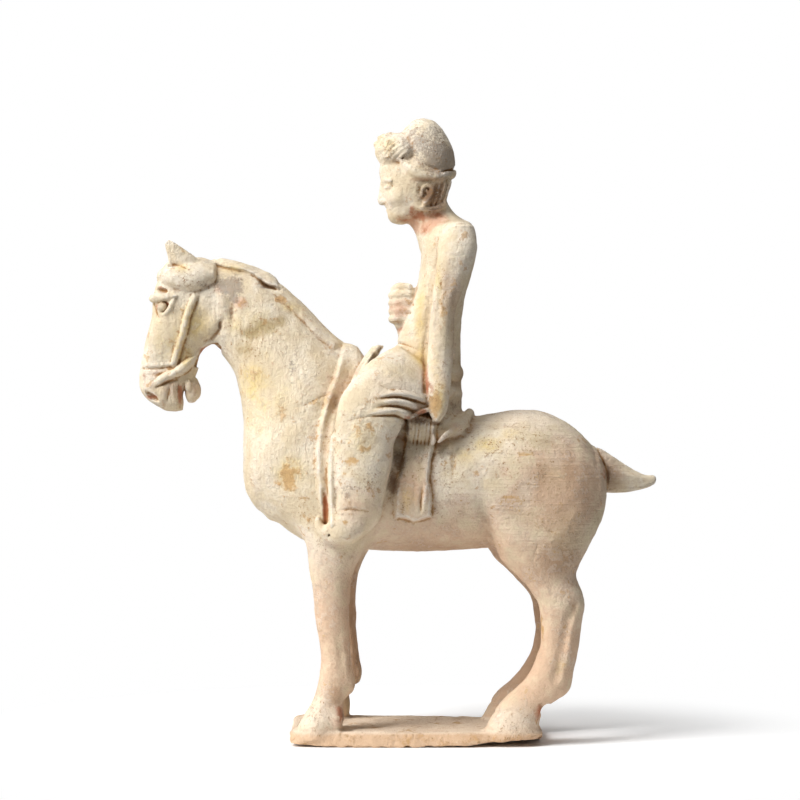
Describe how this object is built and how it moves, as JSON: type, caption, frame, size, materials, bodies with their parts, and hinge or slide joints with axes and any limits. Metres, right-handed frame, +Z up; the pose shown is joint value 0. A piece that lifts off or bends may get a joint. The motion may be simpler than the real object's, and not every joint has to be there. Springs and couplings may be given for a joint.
{
  "type": "pottery horse and rider figure",
  "caption": "Pottery horse standing square on a thin plate, with an upright rider on a saddle, one long sleeve hanging and one fist at the chest.",
  "frame": {"origin": "middle of the bounding box at the underside of the plate, which rests on the surface below it", "axes": "+Z up; the horse faces -X and its left side, the one the picture shows, faces -Y"},
  "size_m": [0.2894, 0.1152, 0.347],
  "materials": {
    "slipped_pottery": "matt cream slip, worn to buff clay"
  },
  "bodies": {
    "root": {"horse_and_rider": "slipped_pottery"}
  },
  "joints": []
}
